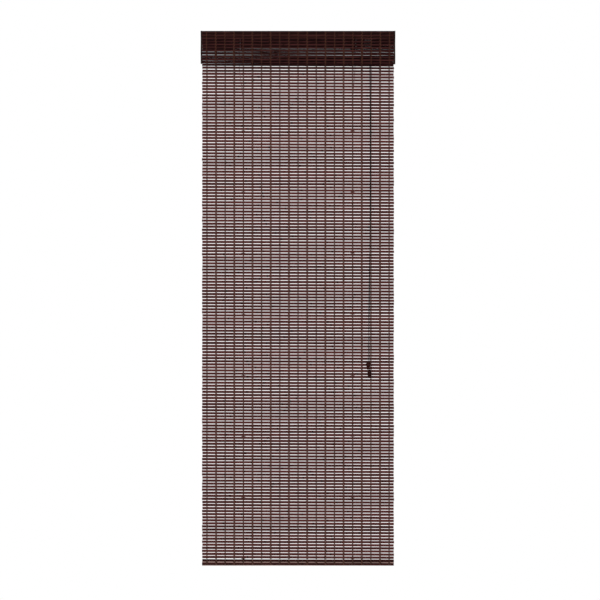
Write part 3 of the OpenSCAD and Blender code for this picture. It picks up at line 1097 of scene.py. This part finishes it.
class SHADE_OT_ring_ties(bpy.types.Operator):
    """Thread ties that hold the rings to the mat, and the knots that end the lift cords"""

    bl_idname = "shade.ring_ties"
    bl_label = "Ring ties and knots"

    def execute(self, context):
        # Two turns of an upright oval round the ring's wire and the mat's threads
        turn = np.linspace(0, 4 * np.pi, 33)
        back = RING_Y - RING_MAJOR + 1.3 * MM
        front = MAT_Y - 0.7 * MM
        spread = np.linspace(-TIE_SPREAD, TIE_SPREAD, len(turn))
        depth = (back + front) / 2 + (back - front) / 2 * np.cos(turn)
        loop = np.stack([spread, depth, TIE_RISE * np.sin(turn)], 1)
        for k in range(1, FOLDS + 1):
            paths = np.stack([loop + (hand * RING_X, 0, level(k)) for hand in (-1, 1)])
            looks = ("thick_cotton_thread",)
            ties = tube_piece(f"ring_ties_{k}", paths, TIE_WIDTH, TIE_WIDTH, 6, looks)
            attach(ties, "hem" if k == FOLDS else f"ring_level_{k}")
        # An overhand knot under each lowest ring: a trefoil line
        turn = np.linspace(0, 2 * np.pi, 49)
        swing = 2 + np.cos(3 * turn)
        trefoil = [swing * np.cos(2 * turn), swing * np.sin(2 * turn), np.sin(3 * turn)]
        knot = KNOT_SIZE * np.stack(trefoil, 1)
        low = level(FOLDS) - KNOT_DROP
        knots = np.stack([knot + (hand * RING_X, RING_Y, low) for hand in (-1, 1)])
        thick = sizes().cord
        upright = (0.0, 0.0, 1.0)
        obj = tube_piece(
            "lift_cord_knots", knots, thick, thick, CORD_SIDES, CORD_LOOKS, across=upright
        )
        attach(obj, "hem")
        return {"FINISHED"}


NODE_FINISHES = {
    "stained_pine": ("headrail_board",),
    "pale_stained_pine": ("bottom_bar",),
    "zinc_plated_steel": (
        "screw_eyes",
        "cord_lock_body",
        "cord_lock_screws",
        "cord_lock_pin",
        *(f"rings_{k}" for k in range(1, FOLDS + 1)),
    ),
    "turned_brass": ("cord_lock_roller",),
    "stained_turned_beech": ("tassel_front", "tassel_back"),
}


class SHADE_OT_fittings(bpy.types.Operator):
    """Finishes of the headrail, bar, eyes, cord lock, rings and tassels"""

    bl_idname = "shade.fittings"
    bl_label = "Rail, lock, rings and tassels"

    def execute(self, context):
        for name, nodes in NODE_FINISHES.items():
            for node in nodes:
                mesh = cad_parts[node].data
                mesh.materials.clear()
                mesh.materials.append(finish(name))
        return {"FINISHED"}


STEPS = (
    SHADE_OT_stage,
    SHADE_OT_pull_cords,
    SHADE_OT_lift_cords,
    SHADE_OT_mat,
    SHADE_OT_fold_threads,
    SHADE_OT_valance,
    SHADE_OT_edge_bands,
    SHADE_OT_ring_ties,
    SHADE_OT_fittings,
)


class SHADE_PT_panel(bpy.types.Panel):
    """Sizes, colours and steps of the shade"""

    bl_idname = "SHADE_PT_panel"
    bl_label = "Bamboo roman shade"
    bl_space_type = "VIEW_3D"
    bl_region_type = "UI"
    bl_category = "Shade"

    def draw(self, context):
        for group in (context.scene.shade_sizes, context.scene.shade_colours):
            box = self.layout.box()
            for key in group.__annotations__:
                box.prop(group, key)
        for step in STEPS:
            self.layout.operator(step.bl_idname)


CLASSES = (ShadeSizes, ShadeColours, *STEPS, SHADE_PT_panel)


def register():
    """Makes the properties, steps and panel known."""
    for cls in CLASSES:
        bpy.utils.register_class(cls)
    bpy.types.Scene.shade_sizes = bpy.props.PointerProperty(type=ShadeSizes)
    bpy.types.Scene.shade_colours = bpy.props.PointerProperty(type=ShadeColours)


def unregister():
    """Takes the properties, steps and panel away again."""
    del bpy.types.Scene.shade_colours
    del bpy.types.Scene.shade_sizes
    for cls in reversed(CLASSES):
        bpy.utils.unregister_class(cls)


def main():
    """Makes the shade step by step."""
    register()
    bpy.ops.shade.stage()
    bpy.ops.shade.pull_cords()
    bpy.ops.shade.lift_cords()
    bpy.ops.shade.mat()
    bpy.ops.shade.fold_threads()
    bpy.ops.shade.valance()
    bpy.ops.shade.edge_bands()
    bpy.ops.shade.ring_ties()
    bpy.ops.shade.fittings()


if __name__ == "__main__":
    main()
